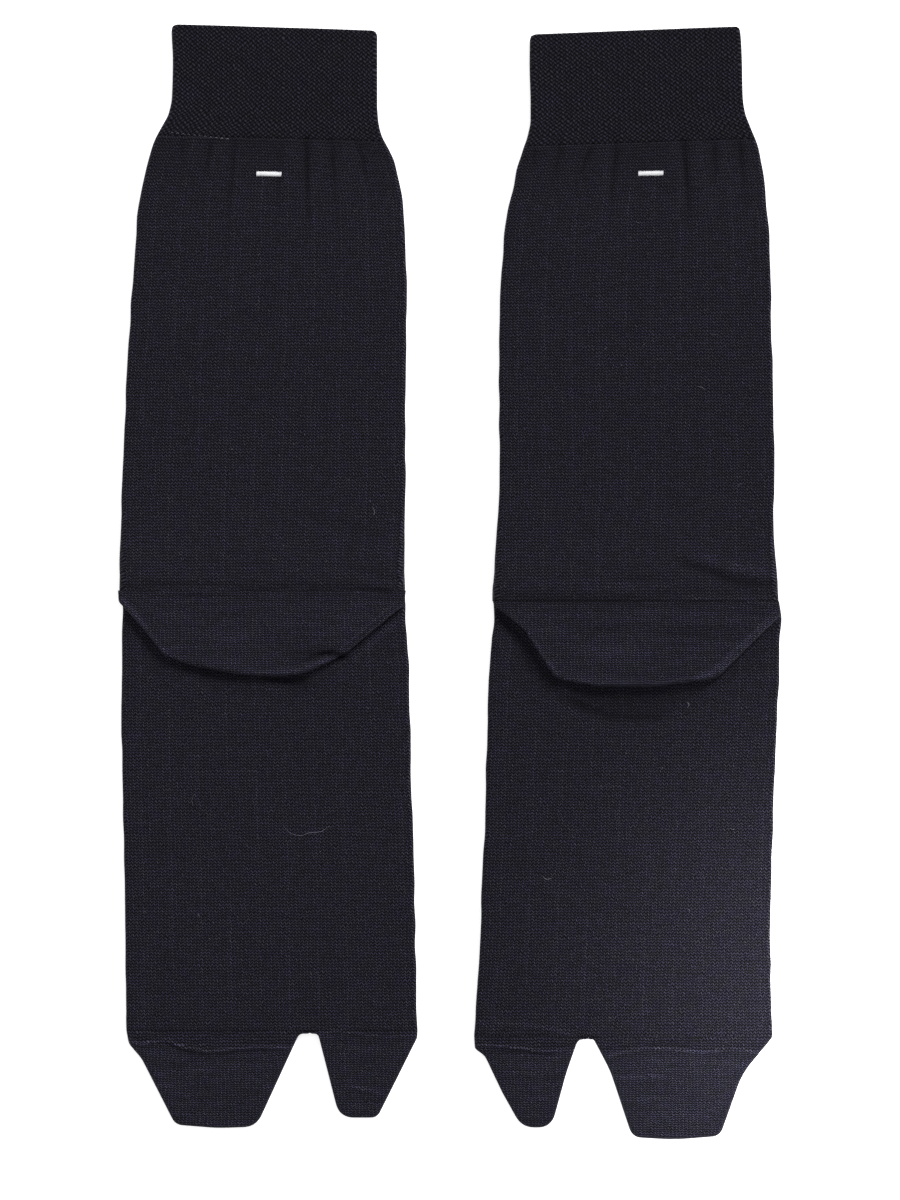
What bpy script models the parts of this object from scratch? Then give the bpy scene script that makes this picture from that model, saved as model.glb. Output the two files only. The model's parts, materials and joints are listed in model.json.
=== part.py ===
"""A pair of split-toe tabi socks, lying flat with their soles up.

Each sock is a knitted tube pressed flat: a cuff, a leg and a foot, whose two layers lie on each
other, and two toe pockets. The heel pocket has nowhere to go in a flat sock, so it is folded down
over the sole. +Y runs up the leg, +Z is up, and the table is at z = 0.
Sizes are in millimetres until they reach the mesh, which is in metres.
"""

import math

import bmesh
import bpy
import numpy as np
from mathutils import Matrix

MM = 0.001

WALL = 1.0  # one layer of the knit
CUFF_WALL = 1.4  # the cuff is turned over and doubled
SEAM_GAP = 0.3  # between two pieces that meet at a seam
SOLE_TOP = 3.0  # height of the flat foot along its middle
SOLE_EDGE = 2.6  # height of the flat foot at its side folds
HEEL_EDGE = 2.4  # height of the folded heel pocket at its edges
HEEL_MIDDLE = 2.6  # height of the folded heel pocket along its middle
HEEL_BASE = SOLE_TOP + SEAM_GAP  # the heel pocket lies on the sole

UNDER_SPANS = 6  # faces across the underside of a section
TOP_SPANS = 8  # faces across the top of a section without gathers
FOLD_SPANS = 4  # faces round each side fold
POCKET_SPANS = 5  # faces across each side of a toe pocket
NOSE_STEPS = 3  # sections that round the closed end of a pocket
RIM_BAND = 1.0  # straight band at each open end, so that its rim is cut square
CORNER_STEPS = 3  # sections round each corner of a toe tip

TACK_SIZE = (7.8, 1.8, 0.5)  # the white bar tack below the cuff
TACK_ROUND = 0.24

NAVY = (0.022, 0.021, 0.031)
REINFORCED_NAVY = (0.026, 0.025, 0.039)
WHITE = (0.86, 0.86, 0.87)

TUBE_COLUMNS = ("station", "left", "right", "tilt", "edge", "middle")
HEEL_COLUMNS = ("station", "left", "right")
TOE_COLUMNS = ("root_left", "root_right", "tip_left", "tip_right", "tip", "corner", "waist")
CROTCH_COLUMNS = ("drop", "half_width")

# The notch between the two toe pockets: half its width at each distance below the toe seam.
CROTCH = (
    (0.0, 0.4),
    (1.2, 0.4),
    (2.2, 1.6),
    (3.6, 2.3),
)

# A station is measured up the leg from the ankle line, and left and right are the side folds.
# Tilt is how much further up the right end of a section lies than its left end.
# Edge and middle are the heights of the flat tube at its side folds and along its middle.
SOCKS = {
    "left": {
        "place": (-61.2, -6.8),
        "cuff_seam": 151.5,
        "heel_seam": 4.0,
        "toe_seam": -139.6,
        "crotch": 15.3,
        "bar_tack": (2.0, 139.8),
        "tube": (
            (187.7, -30.0, 37.5, -2.0, 3.2, 3.5),
            (164.5, -30.0, 37.5, -2.0, 3.2, 3.5),
            (158.5, -31.0, 37.5, -2.0, 3.2, 3.5),
            (154.0, -33.5, 38.5, -2.0, 3.2, 3.4),
            (148.5, -36.0, 41.5, -2.0, 3.0, 3.4),
            (138.0, -39.0, 44.5, -1.5, 2.8, 3.4),
            (119.0, -41.5, 46.5, -1.0, 2.8, 3.3),
            (90.0, -44.0, 47.0, -0.5, 2.7, 3.2),
            (52.0, -45.5, 46.5, 0.0, 2.6, 3.1),
            (30.0, -46.5, 46.5, 0.0, 3.0, 3.6),
            (14.0, -47.0, 46.5, 0.0, 4.8, 5.2),
            (4.0, -47.0, 46.5, 0.0, 5.7, 5.9),
            (0.0, -46.5, 46.5, 0.0, 2.6, 3.0),
            (-12.0, -46.0, 47.0, 0.0, 2.6, 3.0),
            (-51.0, -46.0, 48.0, 0.0, 2.6, 3.0),
            (-90.0, -45.0, 49.5, 0.0, 2.6, 3.0),
            (-130.0, -45.0, 50.0, 0.0, 2.6, 3.0),
            (-139.6, -44.5, 50.5, 0.0, 2.6, 3.0),
        ),
        "gathers": (-0.70, -0.48, -0.28, 0.06, 0.28, 0.48, 0.70),
        "heel": (
            (4.0, -47.0, 46.5),
            (0.5, -46.0, 46.5),
            (-5.0, -41.0, 42.5),
            (-11.5, -36.5, 34.5),
            (-16.0, -33.5, 29.5),
            (-19.5, -27.5, 24.0),
            (-22.3, -18.5, 17.5),
            (-23.8, -9.0, 10.5),
        ),
        "toes": {
            "four_toe": (-44.5, 12.6, -29.0, -1.5, -171.2, 5.0, 0.0),
            "big_toe": (17.6, 50.5, 25.3, 38.4, -168.3, 4.0, 0.0),
        },
    },
    "right": {
        "place": (60.8, -11.8),
        "cuff_seam": 155.0,
        "heel_seam": 5.5,
        "toe_seam": -136.5,
        "crotch": -15.8,
        "bar_tack": (4.5, 145.0),
        "tube": (
            (191.8, -35.0, 34.0, 2.6, 3.2, 3.5),
            (169.0, -35.0, 35.0, 2.6, 3.2, 3.5),
            (164.0, -35.0, 35.5, 2.6, 3.2, 3.5),
            (158.5, -36.0, 37.5, 2.6, 3.2, 3.4),
            (153.5, -37.5, 39.5, 2.5, 3.0, 3.4),
            (143.0, -40.0, 41.5, 2.0, 2.8, 3.4),
            (123.5, -43.5, 43.5, 1.5, 2.8, 3.3),
            (95.0, -45.0, 44.0, 0.5, 2.7, 3.2),
            (55.0, -45.0, 45.0, 0.0, 2.6, 3.1),
            (30.0, -45.5, 45.0, 0.0, 3.0, 3.6),
            (15.0, -47.0, 46.0, 0.0, 4.8, 5.2),
            (5.5, -47.5, 46.5, 0.0, 5.7, 5.9),
            (0.0, -46.5, 47.5, 0.0, 2.6, 3.0),
            (-9.0, -47.5, 47.0, 0.0, 2.6, 3.0),
            (-46.0, -49.0, 45.5, 0.0, 2.6, 3.0),
            (-85.0, -50.5, 44.0, 0.0, 2.6, 3.0),
            (-125.0, -52.5, 44.5, 0.0, 2.6, 3.0),
            (-136.5, -53.0, 44.5, 0.0, 2.6, 3.0),
        ),
        "gathers": (-0.84, -0.63, -0.41, -0.21, 0.36, 0.57, 0.79),
        "heel": (
            (5.5, -47.0, 46.5),
            (1.5, -42.5, 47.0),
            (-3.5, -37.0, 42.5),
            (-9.0, -33.5, 36.5),
            (-14.0, -30.0, 31.5),
            (-18.0, -26.5, 26.0),
            (-20.5, -22.0, 18.5),
            (-22.0, -12.0, 9.0),
        ),
        "toes": {
            "four_toe": (-13.6, 44.0, -1.1, 26.6, -170.2, 5.0, 0.6),
            "big_toe": (-52.5, -18.4, -38.5, -27.3, -166.6, 3.8, 0.3),
        },
    },
}

GATHER_DEPTH = 0.35  # of each pucker where the elastic cuff draws the leg in
GATHER_REACH = 22.0  # the puckers fade out this far below the cuff


def clear_scene():
    for obj in list(bpy.data.objects):
        bpy.data.objects.remove(obj)


def cloth_material(name, colour, roughness):
    """A Principled material for knitted cloth or thread."""
    material = bpy.data.materials.new(name)
    material.use_nodes = True
    shader = material.node_tree.nodes["Principled BSDF"]
    shader.inputs["Base Color"].default_value = (*colour, 1.0)
    shader.inputs["Roughness"].default_value = roughness
    shader.inputs["Metallic"].default_value = 0.0
    material.diffuse_color = (*colour, 1.0)
    return material


def read_table(rows, columns):
    """The rows of a table as one array for each named column, in rising order of its first."""
    return dict(zip(columns, np.array(sorted(rows)).T))


def row_at(table, station):
    """The table's columns at a station, by straight interpolation along the sock."""
    return {name: float(np.interp(station, table["station"], column)) for name, column in table.items()}


def stations_between(table, top, bottom):
    """The two ends of a piece and the table's rows between them, from the top down."""
    inside = [s for s in table["station"] if bottom + SEAM_GAP < s < top - SEAM_GAP]
    return [top, *sorted(inside, reverse=True), bottom]


def even_places(spans):
    """Places across the top of a section, from -1 at its left to 1 at its right."""
    return np.linspace(-1, 1, spans + 1)


def flat_section(row, base, places, dips, under_spans):
    """The closed outline of a flattened tube, as x and z, from the left end of its underside.

    The underside is flat, each side fold is a half circle as high as the edge, and the top rises
    as a parabola from the edge to the middle, less the dip at each of its places.
    """
    radius = row["edge"] / 2
    low = row["left"] + radius
    high = row["right"] - radius
    turn = np.pi * np.arange(1, FOLD_SPANS) / FOLD_SPANS
    under = np.linspace(low, high, under_spans + 1)
    top = low + (high - low) * (places + 1) / 2
    top_z = row["edge"] + (row["middle"] - row["edge"]) * (1 - places**2) - dips
    fold_z = radius * (1 - np.cos(turn))
    x = np.concatenate([under, high + radius * np.sin(turn), top[::-1], low - radius * np.sin(turn)])
    z = np.concatenate([np.zeros(len(under)), fold_z, top_z[::-1], fold_z[::-1]])
    return x, base + z


def tube_ring(table, station, places, dips):
    """One section of the cuff, the leg or the foot, tilted as its row says."""
    row = row_at(table, station)
    x, z = flat_section(row, 0.0, places, dips, UNDER_SPANS)
    middle_x = (row["left"] + row["right"]) / 2
    y = station + row["tilt"] * (x - middle_x) / (row["right"] - row["left"])
    return np.column_stack([x, y, z])


def pocket_ring(station, left, right, edge, middle, base, share, spans):
    """One section of a pocket. Towards its nose the height shrinks to a share of the full one."""
    row = {"left": left, "right": right, "edge": edge, "middle": middle}
    x, z = flat_section(row, base, even_places(spans), 0.0, spans)
    centre = base + edge / 2
    return np.column_stack([x, np.full(len(x), station), centre + (z - centre) * share])


def nose(tip, radius):
    """(station, share of the height) round the closed end of a pocket, down a quarter circle."""
    angles = [math.pi / 2 * step / NOSE_STEPS for step in reversed(range(NOSE_STEPS + 1))]
    return [(tip + radius * (1 - math.cos(a)), math.sin(a)) for a in angles]


def skin(rings, closed_end):
    """An open mesh through rings of points, all of one length.

    A straight band at each open end keeps its rim square when the wall gets its thickness. With
    closed_end the last ring is flat, so its upper points merge with its lower ones.
    """
    band = np.array([0.0, RIM_BAND, 0.0])
    rings = [rings[0], rings[0] - band, *rings[1:]]
    if not closed_end:
        rings.insert(-1, rings[-1] + band)
    shape = bmesh.new()
    loops = [[shape.verts.new(point) for point in ring * MM] for ring in rings]
    for upper, lower in zip(loops, loops[1:]):
        for i, point in enumerate(upper):
            j = (i + 1) % len(upper)
            shape.faces.new((point, upper[j], lower[j], lower[i]))
    if closed_end:
        bmesh.ops.remove_doubles(shape, verts=loops[-1], dist=0.02 * MM)
    bmesh.ops.recalc_face_normals(shape, faces=shape.faces[:])
    return shape


def cloth_piece(name, rings, wall, closed_end=False):
    """A named piece of cloth: the skin through its rings, with a wall that grows inwards."""
    mesh = bpy.data.meshes.new(name)
    shape = skin(rings, closed_end)
    shape.to_mesh(mesh)
    shape.free()
    mesh.shade_smooth()
    mesh.set_sharp_from_angle(angle=math.radians(50))
    piece = bpy.data.objects.new(name, mesh)
    solidify = piece.modifiers.new("cloth", "SOLIDIFY")
    solidify.thickness = wall * MM
    solidify.offset = -1
    solidify.use_even_offset = True
    return piece


def cuff(side, sock, table):
    """The elastic cuff, turned and doubled, open at both ends."""
    stations = stations_between(table, table["station"].max(), sock["cuff_seam"] + SEAM_GAP / 2)
    rings = [tube_ring(table, station, even_places(TOP_SPANS), 0.0) for station in stations]
    return cloth_piece(f"{side}_cuff", rings, CUFF_WALL)


def leg(side, sock, table):
    """The leg, gathered into its cuff, which climbs over the folded heel pocket at its lower end."""
    gathers = np.array([-1.0, *sock["gathers"], 1.0])
    places = np.sort(np.concatenate([gathers, (gathers[1:] + gathers[:-1]) / 2]))
    puckered = np.isin(places, sock["gathers"])
    top = sock["cuff_seam"] - SEAM_GAP / 2
    rings = []
    for station in stations_between(table, top, sock["heel_seam"] + SEAM_GAP / 2):
        fade = max(0.0, 1 - (sock["cuff_seam"] - station) / GATHER_REACH)
        rings.append(tube_ring(table, station, places, GATHER_DEPTH * fade * puckered))
    return cloth_piece(f"{side}_leg", rings, WALL)


def foot(side, sock, table):
    """The foot, whose sole is its upper layer. It starts flat, under the heel pocket."""
    at_heel = table["station"] > sock["heel_seam"] - RIM_BAND
    flat = dict(table)
    flat["edge"] = np.where(at_heel, SOLE_EDGE, table["edge"])
    flat["middle"] = np.where(at_heel, SOLE_TOP, table["middle"])
    top = sock["heel_seam"] - SEAM_GAP / 2
    stations = stations_between(flat, top, sock["toe_seam"] + SEAM_GAP / 2)
    rings = [tube_ring(flat, station, even_places(TOP_SPANS), 0.0) for station in stations]
    return cloth_piece(f"{side}_foot", rings, WALL)


def heel(side, sock):
    """The heel pocket, folded down over the sole: open at the ankle, closed below."""
    table = read_table(sock["heel"], HEEL_COLUMNS)
    tip = table["station"].min()
    rounded = nose(tip, HEEL_EDGE / 2)
    flat = stations_between(table, sock["heel_seam"] - SEAM_GAP / 2, rounded[0][0])[:-1]
    rings = []
    for station, share in [(s, 1.0) for s in flat] + rounded:
        row = row_at(table, station)
        edges = (row["left"], row["right"], HEEL_EDGE, HEEL_MIDDLE)
        rings.append(pocket_ring(station, *edges, HEEL_BASE, share, TOP_SPANS))
    return cloth_piece(f"{side}_heel", rings, WALL, closed_end=True)


def corner_inset(distance, radius):
    """How far a rounded corner draws the edge in, at this distance above the tip."""
    if distance >= radius:
        return 0.0
    return radius - math.sqrt(radius**2 - (radius - distance) ** 2)


def toe_edges(pocket, sock, station):
    """The left and right edge of a toe pocket: straight, waisted a little, and round at the tip."""
    drop = sock["toe_seam"] - station
    along = drop / (sock["toe_seam"] - pocket["tip"])
    inset = corner_inset(station - pocket["tip"], pocket["corner"])
    inset += pocket["waist"] * math.sin(math.pi * along)
    left = pocket["root_left"] + (pocket["tip_left"] - pocket["root_left"]) * along + inset
    right = pocket["root_right"] + (pocket["tip_right"] - pocket["root_right"]) * along - inset
    notch = read_table(CROTCH, CROTCH_COLUMNS)
    if drop < notch["drop"].max():
        half_width = np.interp(drop, notch["drop"], notch["half_width"])
        if pocket["root_left"] > sock["crotch"]:
            left = sock["crotch"] + half_width
        else:
            right = sock["crotch"] - half_width
    return left, right


def toe_pocket(side, name, row, sock):
    """One toe pocket: open where it joins the foot, closed and rounded at its tip."""
    pocket = dict(zip(TOE_COLUMNS, row))
    rounded = nose(pocket["tip"], SOLE_EDGE / 2)
    corner_top = pocket["tip"] + pocket["corner"]
    notch = [sock["toe_seam"] - drop for drop, _ in CROTCH[2:]]
    middle = np.linspace(notch[-1], corner_top, 3)[1:]
    corner = np.linspace(corner_top, rounded[0][0], CORNER_STEPS)[1:-1]
    flat = [sock["toe_seam"] - SEAM_GAP / 2, *notch, *middle, *corner]
    rings = []
    for station, share in [(s, 1.0) for s in flat] + rounded:
        edges = (*toe_edges(pocket, sock, station), SOLE_EDGE, SOLE_TOP)
        rings.append(pocket_ring(station, *edges, 0.0, share, POCKET_SPANS))
    return cloth_piece(f"{side}_{name}", rings, WALL, closed_end=True)


def bar_tack(side, sock, table):
    """A plain white bar tack, lying across the leg just below the cuff."""
    x, station = sock["bar_tack"]
    row = row_at(table, station)
    bpy.ops.mesh.primitive_cube_add(size=1)
    tack = bpy.context.active_object
    tack.name = f"{side}_bar_tack"
    tack.data.transform(Matrix.Diagonal([*(size * MM for size in TACK_SIZE), 1.0]))
    tack.location = (x * MM, station * MM, (row["middle"] + SEAM_GAP + TACK_SIZE[2] / 2) * MM)
    tack.rotation_euler.z = math.atan2(row["tilt"], row["right"] - row["left"])
    bevel = tack.modifiers.new("rounded", "BEVEL")
    bevel.width = TACK_ROUND * MM
    bevel.segments = 2
    return tack


def sock_pieces(side, sock):
    """The pieces of one sock, by the name of their material."""
    table = read_table(sock["tube"], TUBE_COLUMNS)
    toes = [toe_pocket(side, name, row, sock) for name, row in sock["toes"].items()]
    return {
        "cuff_rib": [cuff(side, sock, table)],
        "leg_knit": [leg(side, sock, table), foot(side, sock, table)],
        "reinforced_knit": [heel(side, sock), *toes],
        "white_thread": [bar_tack(side, sock, table)],
    }


def build():
    clear_scene()
    collection = bpy.data.collections.new("tabi_socks")
    bpy.context.scene.collection.children.link(collection)
    materials = {
        "cuff_rib": cloth_material("cuff_rib", NAVY, 0.9),
        "leg_knit": cloth_material("leg_knit", NAVY, 0.88),
        "reinforced_knit": cloth_material("reinforced_knit", REINFORCED_NAVY, 0.9),
        "white_thread": cloth_material("white_thread", WHITE, 0.6),
    }
    for side, sock in SOCKS.items():
        place = bpy.data.objects.new(f"{side}_sock", None)
        place.location = (sock["place"][0] * MM, sock["place"][1] * MM, 0.0)
        collection.objects.link(place)
        for material_name, pieces in sock_pieces(side, sock).items():
            for piece in pieces:
                for owner in list(piece.users_collection):
                    owner.objects.unlink(piece)
                collection.objects.link(piece)
                piece.parent = place
                piece.data.materials.append(materials[material_name])


build()
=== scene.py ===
"""A pair of split-toe tabi socks in fine navy knit, laid flat with their soles up.

Every zone of the knit is a surface worked out on a grid: rows run down the sock from its cuff to its
toes, and columns run round it. The stitches follow a UV map whose unit is one stitch each way.
Lengths are in millimetres until they reach a mesh, which is in metres.
"""

import json
import math

import bpy
import numpy as np
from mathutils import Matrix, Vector


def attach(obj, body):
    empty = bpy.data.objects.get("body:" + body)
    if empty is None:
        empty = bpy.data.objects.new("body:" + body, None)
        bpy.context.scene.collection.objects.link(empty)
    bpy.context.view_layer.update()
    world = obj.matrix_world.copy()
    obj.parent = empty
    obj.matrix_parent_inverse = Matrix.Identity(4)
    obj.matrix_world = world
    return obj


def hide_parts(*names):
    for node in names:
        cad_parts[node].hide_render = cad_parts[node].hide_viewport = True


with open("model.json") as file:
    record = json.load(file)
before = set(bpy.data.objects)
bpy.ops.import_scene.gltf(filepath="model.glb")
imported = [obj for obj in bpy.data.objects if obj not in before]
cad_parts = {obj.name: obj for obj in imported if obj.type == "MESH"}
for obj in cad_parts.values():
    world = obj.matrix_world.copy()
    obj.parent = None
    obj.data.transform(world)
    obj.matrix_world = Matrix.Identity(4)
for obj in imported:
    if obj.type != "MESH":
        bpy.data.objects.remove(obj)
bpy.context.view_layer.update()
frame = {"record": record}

MM = 0.001

# -------- sizes of the knit

LAYER = 0.75  # one layer of plain knit
CUFF_LAYER = 1.15  # the cuff's two plies, lying together
NEEDLES = 160  # wales round the sock
FOLD_WALES = 2  # of them round each side fold
COURSE = 0.99  # height of one row of plain stitches
CUFF_COURSE = 1.36  # height of one row of rib stitches
RIB_DEPTH = 0.24
REINFORCED_WALE = 1.15
REINFORCED_COURSE = 0.77
CUFF_EDGE = 3.1  # height of the flat cuff at its side folds
CUFF_MIDDLE = 3.4  # and along its middle
FOOT_EDGE = 2.6  # the same for the foot
FOOT_MIDDLE = 3.0
POCKET_EDGE = 2.6  # height of a toe pocket at its edge
POCKET_PUFF = 0.22  # how much a toe pocket swells half way down
HEEL_EDGE = 2.4  # height of the folded heel pocket at its edge
HEEL_BASE = 3.3  # the folded heel pocket lies this high
HEEL_PINCH = 1.2  # how far the leg's side folds draw in beside the heel pocket
PINCH_LEVEL = HEEL_BASE - 0.15  # the height at which they do so most
PINCH_WIDTH = 0.8  # how far above and below it that reaches
PINCH_FADE = 14.0  # and how far up the leg
UNDER_SWELL = 0.18  # the most that the flat underside lifts off the table
GATHER_SHADE_REACH = 24.0  # how far below the cuff the knit is gathered, and painted darker there as the gathers' shade
WANDER = 0.22  # how far a side fold strays from its line

# -------- tables of the two socks


def alike(tilt, edge, middle, *rows):
    """Sections that share their tilt and their heights."""
    return tuple((*row, tilt, edge, middle) for row in rows)


def stitch_row(start, end, count):
    """Short ends of linking yarn, evenly spaced in a row, each a small arch."""
    x, y = (np.linspace(low, high, count) for low, high in zip(start, end))
    ends = np.stack([x - 0.45, y - 0.15, x, y + 0.15, x + 0.45, y - 0.15], -1).reshape(count, 3, 2)
    return tuple((0.045, arch) for arch in ends)


# A station is measured up the leg from the ankle line.
# A fold is its width and the points of its line, (x, station, height): below 0 is a trough, and a
# point without a height is level with the cloth. The heights also paint the knit's colour: painted
# shade in the troughs and a painted highlight on the ridges.
LEFT_FOLDS = (
    # gathers below the cuff
    (0.75, ((-26.2, 151, -0.25), (-26.4, 147.5, -0.45), (-26.8, 143))),
    (0.8, ((-16.6, 151, -0.3), (-17.8, 145, -0.5), (-19.2, 137, -0.15), (-19.6, 130))),
    (0.9, ((-8.9, 150.8, -0.2), (-10, 140, -0.5), (-11.4, 128, -0.28), (-12, 108))),
    (0.7, ((5.6, 150.5, -0.1), (5.2, 137, -0.35), (4.6, 128, -0.2), (4.2, 120))),
    (0.85, ((14, 151, -0.5), (14.3, 143, -0.8), (14.5, 131, -0.5), (14.8, 118))),
    (0.85, ((22.2, 150, -0.3), (22.8, 144, -0.55), (23.6, 132, -0.3), (24.2, 118))),
    (0.8, ((31.2, 149.5, -0.25), (32.4, 144, -0.5), (34.2, 134, -0.12), (34.8, 129))),
    (2.2, ((-22, 149.5, 0.14), (-23, 140))),
    (2.2, ((-13, 149.5, 0.16), (-14.6, 136))),
    (2.4, ((9.8, 149.5, 0.2), (9.8, 132))),
    (2, ((18.2, 149.5, 0.2), (18.9, 130))),
    (2, ((27, 149, 0.16), (28.4, 134))),
    # where the rib ends
    (1.6, ((-36, 152.4, -0.06), (0, 151.2, -0.12), (20, 150.6, -0.12), (40, 150.2, -0.06))),
    # the leg, above the ankle line
    (2.4, ((-6, 33), (14, 29, -0.2), (30, 24, -0.22), (41, 20))),
    (1.6, ((20, 12), (33, 10.5, -0.2), (44, 7.5, -0.15))),
    (1.1, ((-46, 5.2, -0.3), (-34, 5.7, -0.42), (-16, 5.6, -0.36), (0, 5, -0.24), (12, 5.2, -0.3),
           (31, 4.6, -0.38), (39, 3.4, -0.42), (44.5, 1.2, -0.12))),
    (0.9, ((-30, 1.7), (-21, 2.2, -0.26), (-12, 1.8))),
    (1.4, ((-34, 3.8, 0.1), (-20, 3.9, 0.2), (-8, 3.6))),
    # on the heel pocket
    (1, ((-45, -2.6, 0.1), (-39.6, -9.4, 0.26), (-33.4, -16.4, 0.2), (-28, -19.4))),
    (1, ((46.4, -4.2, 0.1), (38, -11, 0.3), (32, -16.4, 0.26), (28, -19.6))),
    (0.9, ((13, -16.6), (19, -17, -0.6), (24.6, -17.2, -1.3), (27.6, -17.6, -0.2))),
    (1, ((9, -21.4), (15, -18.6, -0.45), (20.5, -16.8, -0.95), (24.8, -15.9, -0.3))),
    (2.6, ((2, -19), (12, -16, -0.25), (20, -15, -0.2))),
    (1.2, ((-12, -21.8, 0.1), (0, -22.8, 0.3), (8, -22.6, 0.4), (18, -19.9, 0.5), (25.5, -16.4, 0.45))),
    (0.8, ((-45.6, 0.8, 0.45), (-40.4, -5.4, 0.5), (-35.4, -12, 0.38), (-30, -17.6, 0.3),
           (-22, -19.9, 0.15))),
    (1.1, ((23, -8), (29, -6.6, 0.14), (36, -5))),
    (1, ((-18, -11.6), (-9, -12.4, 0.12), (1, -11.8, -0.08), (10, -11))),
    # linked gore at the right of the heel
    (0.55, ((45.2, -0.9, 0.26), (36, -8.7, 0.34), (27.4, -16.1, 0.34))),
    (0.45, ((44, 0.5, 0.22), (34.8, -7.2, 0.28), (26, -14.8, 0.28))),
    (0.35, ((44.6, -0.2, -0.1), (35.4, -8, -0.16), (26.8, -15.5, -0.16))),
    # on the sole, below the heel pocket
    (1.3, ((0.5, -24.2, -0.2), (5, -25, -0.7), (11.5, -25.4, -0.6), (16.5, -24.6))),
    (2.8, ((4, -27), (12, -27.6, -0.35), (20, -27.2))),
    (3, ((-28, -19.5), (-18, -23.8, -0.3), (-8, -27, -0.15), (-2, -30))),
    (1.4, ((-44, -2), (-39, -11, -0.12), (-34, -17))),
    # linked toe seams
    (0.45, ((-43.6, -142.4, 0.55), (-40, -144, 0.6), (-32, -142.9, 0.7), (-25, -145.3, 0.9),
            (-17, -146.3, 0.8), (-9, -145.6, 0.9), (0, -145, 0.8), (9.6, -145, 0.7))),
    (0.6, ((-42, -144.6, -0.12), (-24, -147.4, -0.18), (9, -146, -0.12))),
    (0.45, ((18.4, -140.6, 0.4), (24, -139.8, 0.5), (31, -140.6, 0.36), (40, -141.6, 0.12),
            (49.6, -141.2, 0.4))),
    (0.6, ((20.4, -142.8, -0.1), (30, -141.8, -0.14), (48, -143.2, -0.12))),
    (0.5, ((-28, -153.1), (-21, -152.6, 0.4), (-13, -152.8))),
    (0.5, ((-6, -153.8), (0, -157, 0.22), (3, -158.9, 0.1))),
    (0.5, ((26, -157), (33, -158.8, 0.5), (40.5, -160.6, 0.3))),
    (0.5, ((-35, -156.6, 0.1), (-29, -160, 0.18), (-20, -161.4))),
    (1.2, ((19.5, -139, -0.1), (17, -134, -0.22), (15.6, -127))),
)

# Rest is how far the frame's resting point of the sock lies below its ankle line.
# A row of the tube or the foot is (station, left, right, tilt, edge, middle): its side folds, how much
# further up its right end lies than its left, and its heights at the side folds and along its middle.
# An outline is (x, station, corner radius), from its left end round the tip to its right end.
# The bar tack is (x, station, tilt), and a hair is its radius and the points that it runs through.
LEFT = {
    "rest": 70,
    "cuff_seam": 151.5,
    "heel_seam": 4,
    "toe_seam": -139.6,
    "tube": (
        *alike(-2, CUFF_EDGE, CUFF_MIDDLE,
               (187.8, -29, 36.3), (187.2, -29.7, 37), (186, -30, 37.4), (176, -29.6, 37.4),
               (164.3, -29.9, 37.4), (159, -30.9, 37.7), (154, -33.5, 38.7)),
        (148.5, -36.1, 41.3, -2, 3, 3.4), (143.4, -37.7, 43.3, -1.8, 2.9, 3.4),
        (138, -39, 44.6, -1.5, 2.8, 3.4), (128.5, -40.7, 45.9, -1.2, 2.8, 3.4),
        (118.5, -41.7, 46.6, -1, 2.8, 3.3), (99, -43, 46.9, -0.5, 2.7, 3.2),
        (79.5, -44.3, 46.9, -0.2, 2.7, 3.1), (60, -45.2, 46.6, 0, 2.6, 3),
        (40, -45.9, 46.5, 0, 2.7, 3.2), (26, -46.5, 46.2, 0, 3.3, 3.9), (14, -47, 46.4, 0, 4.7, 5.1),
        (7.5, -47.2, 46.6, 0, 5.4, 5.7), (4, -47.2, 46.7, 0, 5.7, 5.9),
    ),
    "foot": alike(
        0, FOOT_EDGE, FOOT_MIDDLE, (4, -46.4, 46.3), (-3, -45.9, 46.5), (-12, -46.2, 47.2),
        (-32, -46.2, 47.9), (-51, -46.1, 48.3), (-71, -45.6, 48.9), (-90.5, -45.2, 49.5),
        (-110, -44.9, 49.8), (-130, -44.9, 50.1), (-139.6, -44.7, 50.5),
    ),
    "heel": (
        (-47.1, 4, 0), (-46.9, 0.3, 2), (-40.2, -6.8, 14), (-32.2, -16.9, 6), (-23.5, -20.5, 16),
        (-9, -23.2, 30), (4, -24.2, 24), (13.5, -23.1, 16), (22.5, -19, 12), (28.6, -15.3, 8),
        (46.2, -0.6, 1.8), (46.7, 4, 0),
    ),
    "four_toe": (
        (-44.7, -139.6, 0), (-43.9, -144, 4), (-39.7, -148.9, 12), (-28.7, -170.5, 4.2),
        (-15, -171.6, 60), (-2.2, -171.2, 7), (11.8, -140.8, 2.2), (15.3, -140.6, 0.3),
        (15.3, -139.6, 0),
    ),
    "big_toe": (
        (15.3, -139.6, 0), (15.3, -140.6, 0.3), (17.9, -140.8, 1.5), (24.9, -168.2, 6.2),
        (37.3, -168.2, 3.6), (50.4, -142, 3), (50.5, -139.6, 0),
    ),
    "toe_line": {
        "four_toe": ((-44, -143), (-34, -144), (-24, -146), (-8, -145.2), (12, -144.4)),
        "big_toe": ((16, -140), (24, -140.2), (36, -140.8), (51, -142)),
    },
    "bar_tack": (2, 139.8, -1.5),
    "folds": LEFT_FOLDS,
    "hairs": (
        *stitch_row((-29.6, 153.3), (-11.6, 151.2), 11),
        (0.055, ((6.8, -72.9), (9, -75.2), (12.4, -76), (15.2, -75), (18.6, -74.8), (21.8, -72.6))),
        (0.045, ((35.6, 31.4), (36.4, 29.8), (36.2, 28.4))),
        (0.04, ((-22, -62), (-23.2, -64.4), (-22.6, -66.2))),
    ),
}

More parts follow.
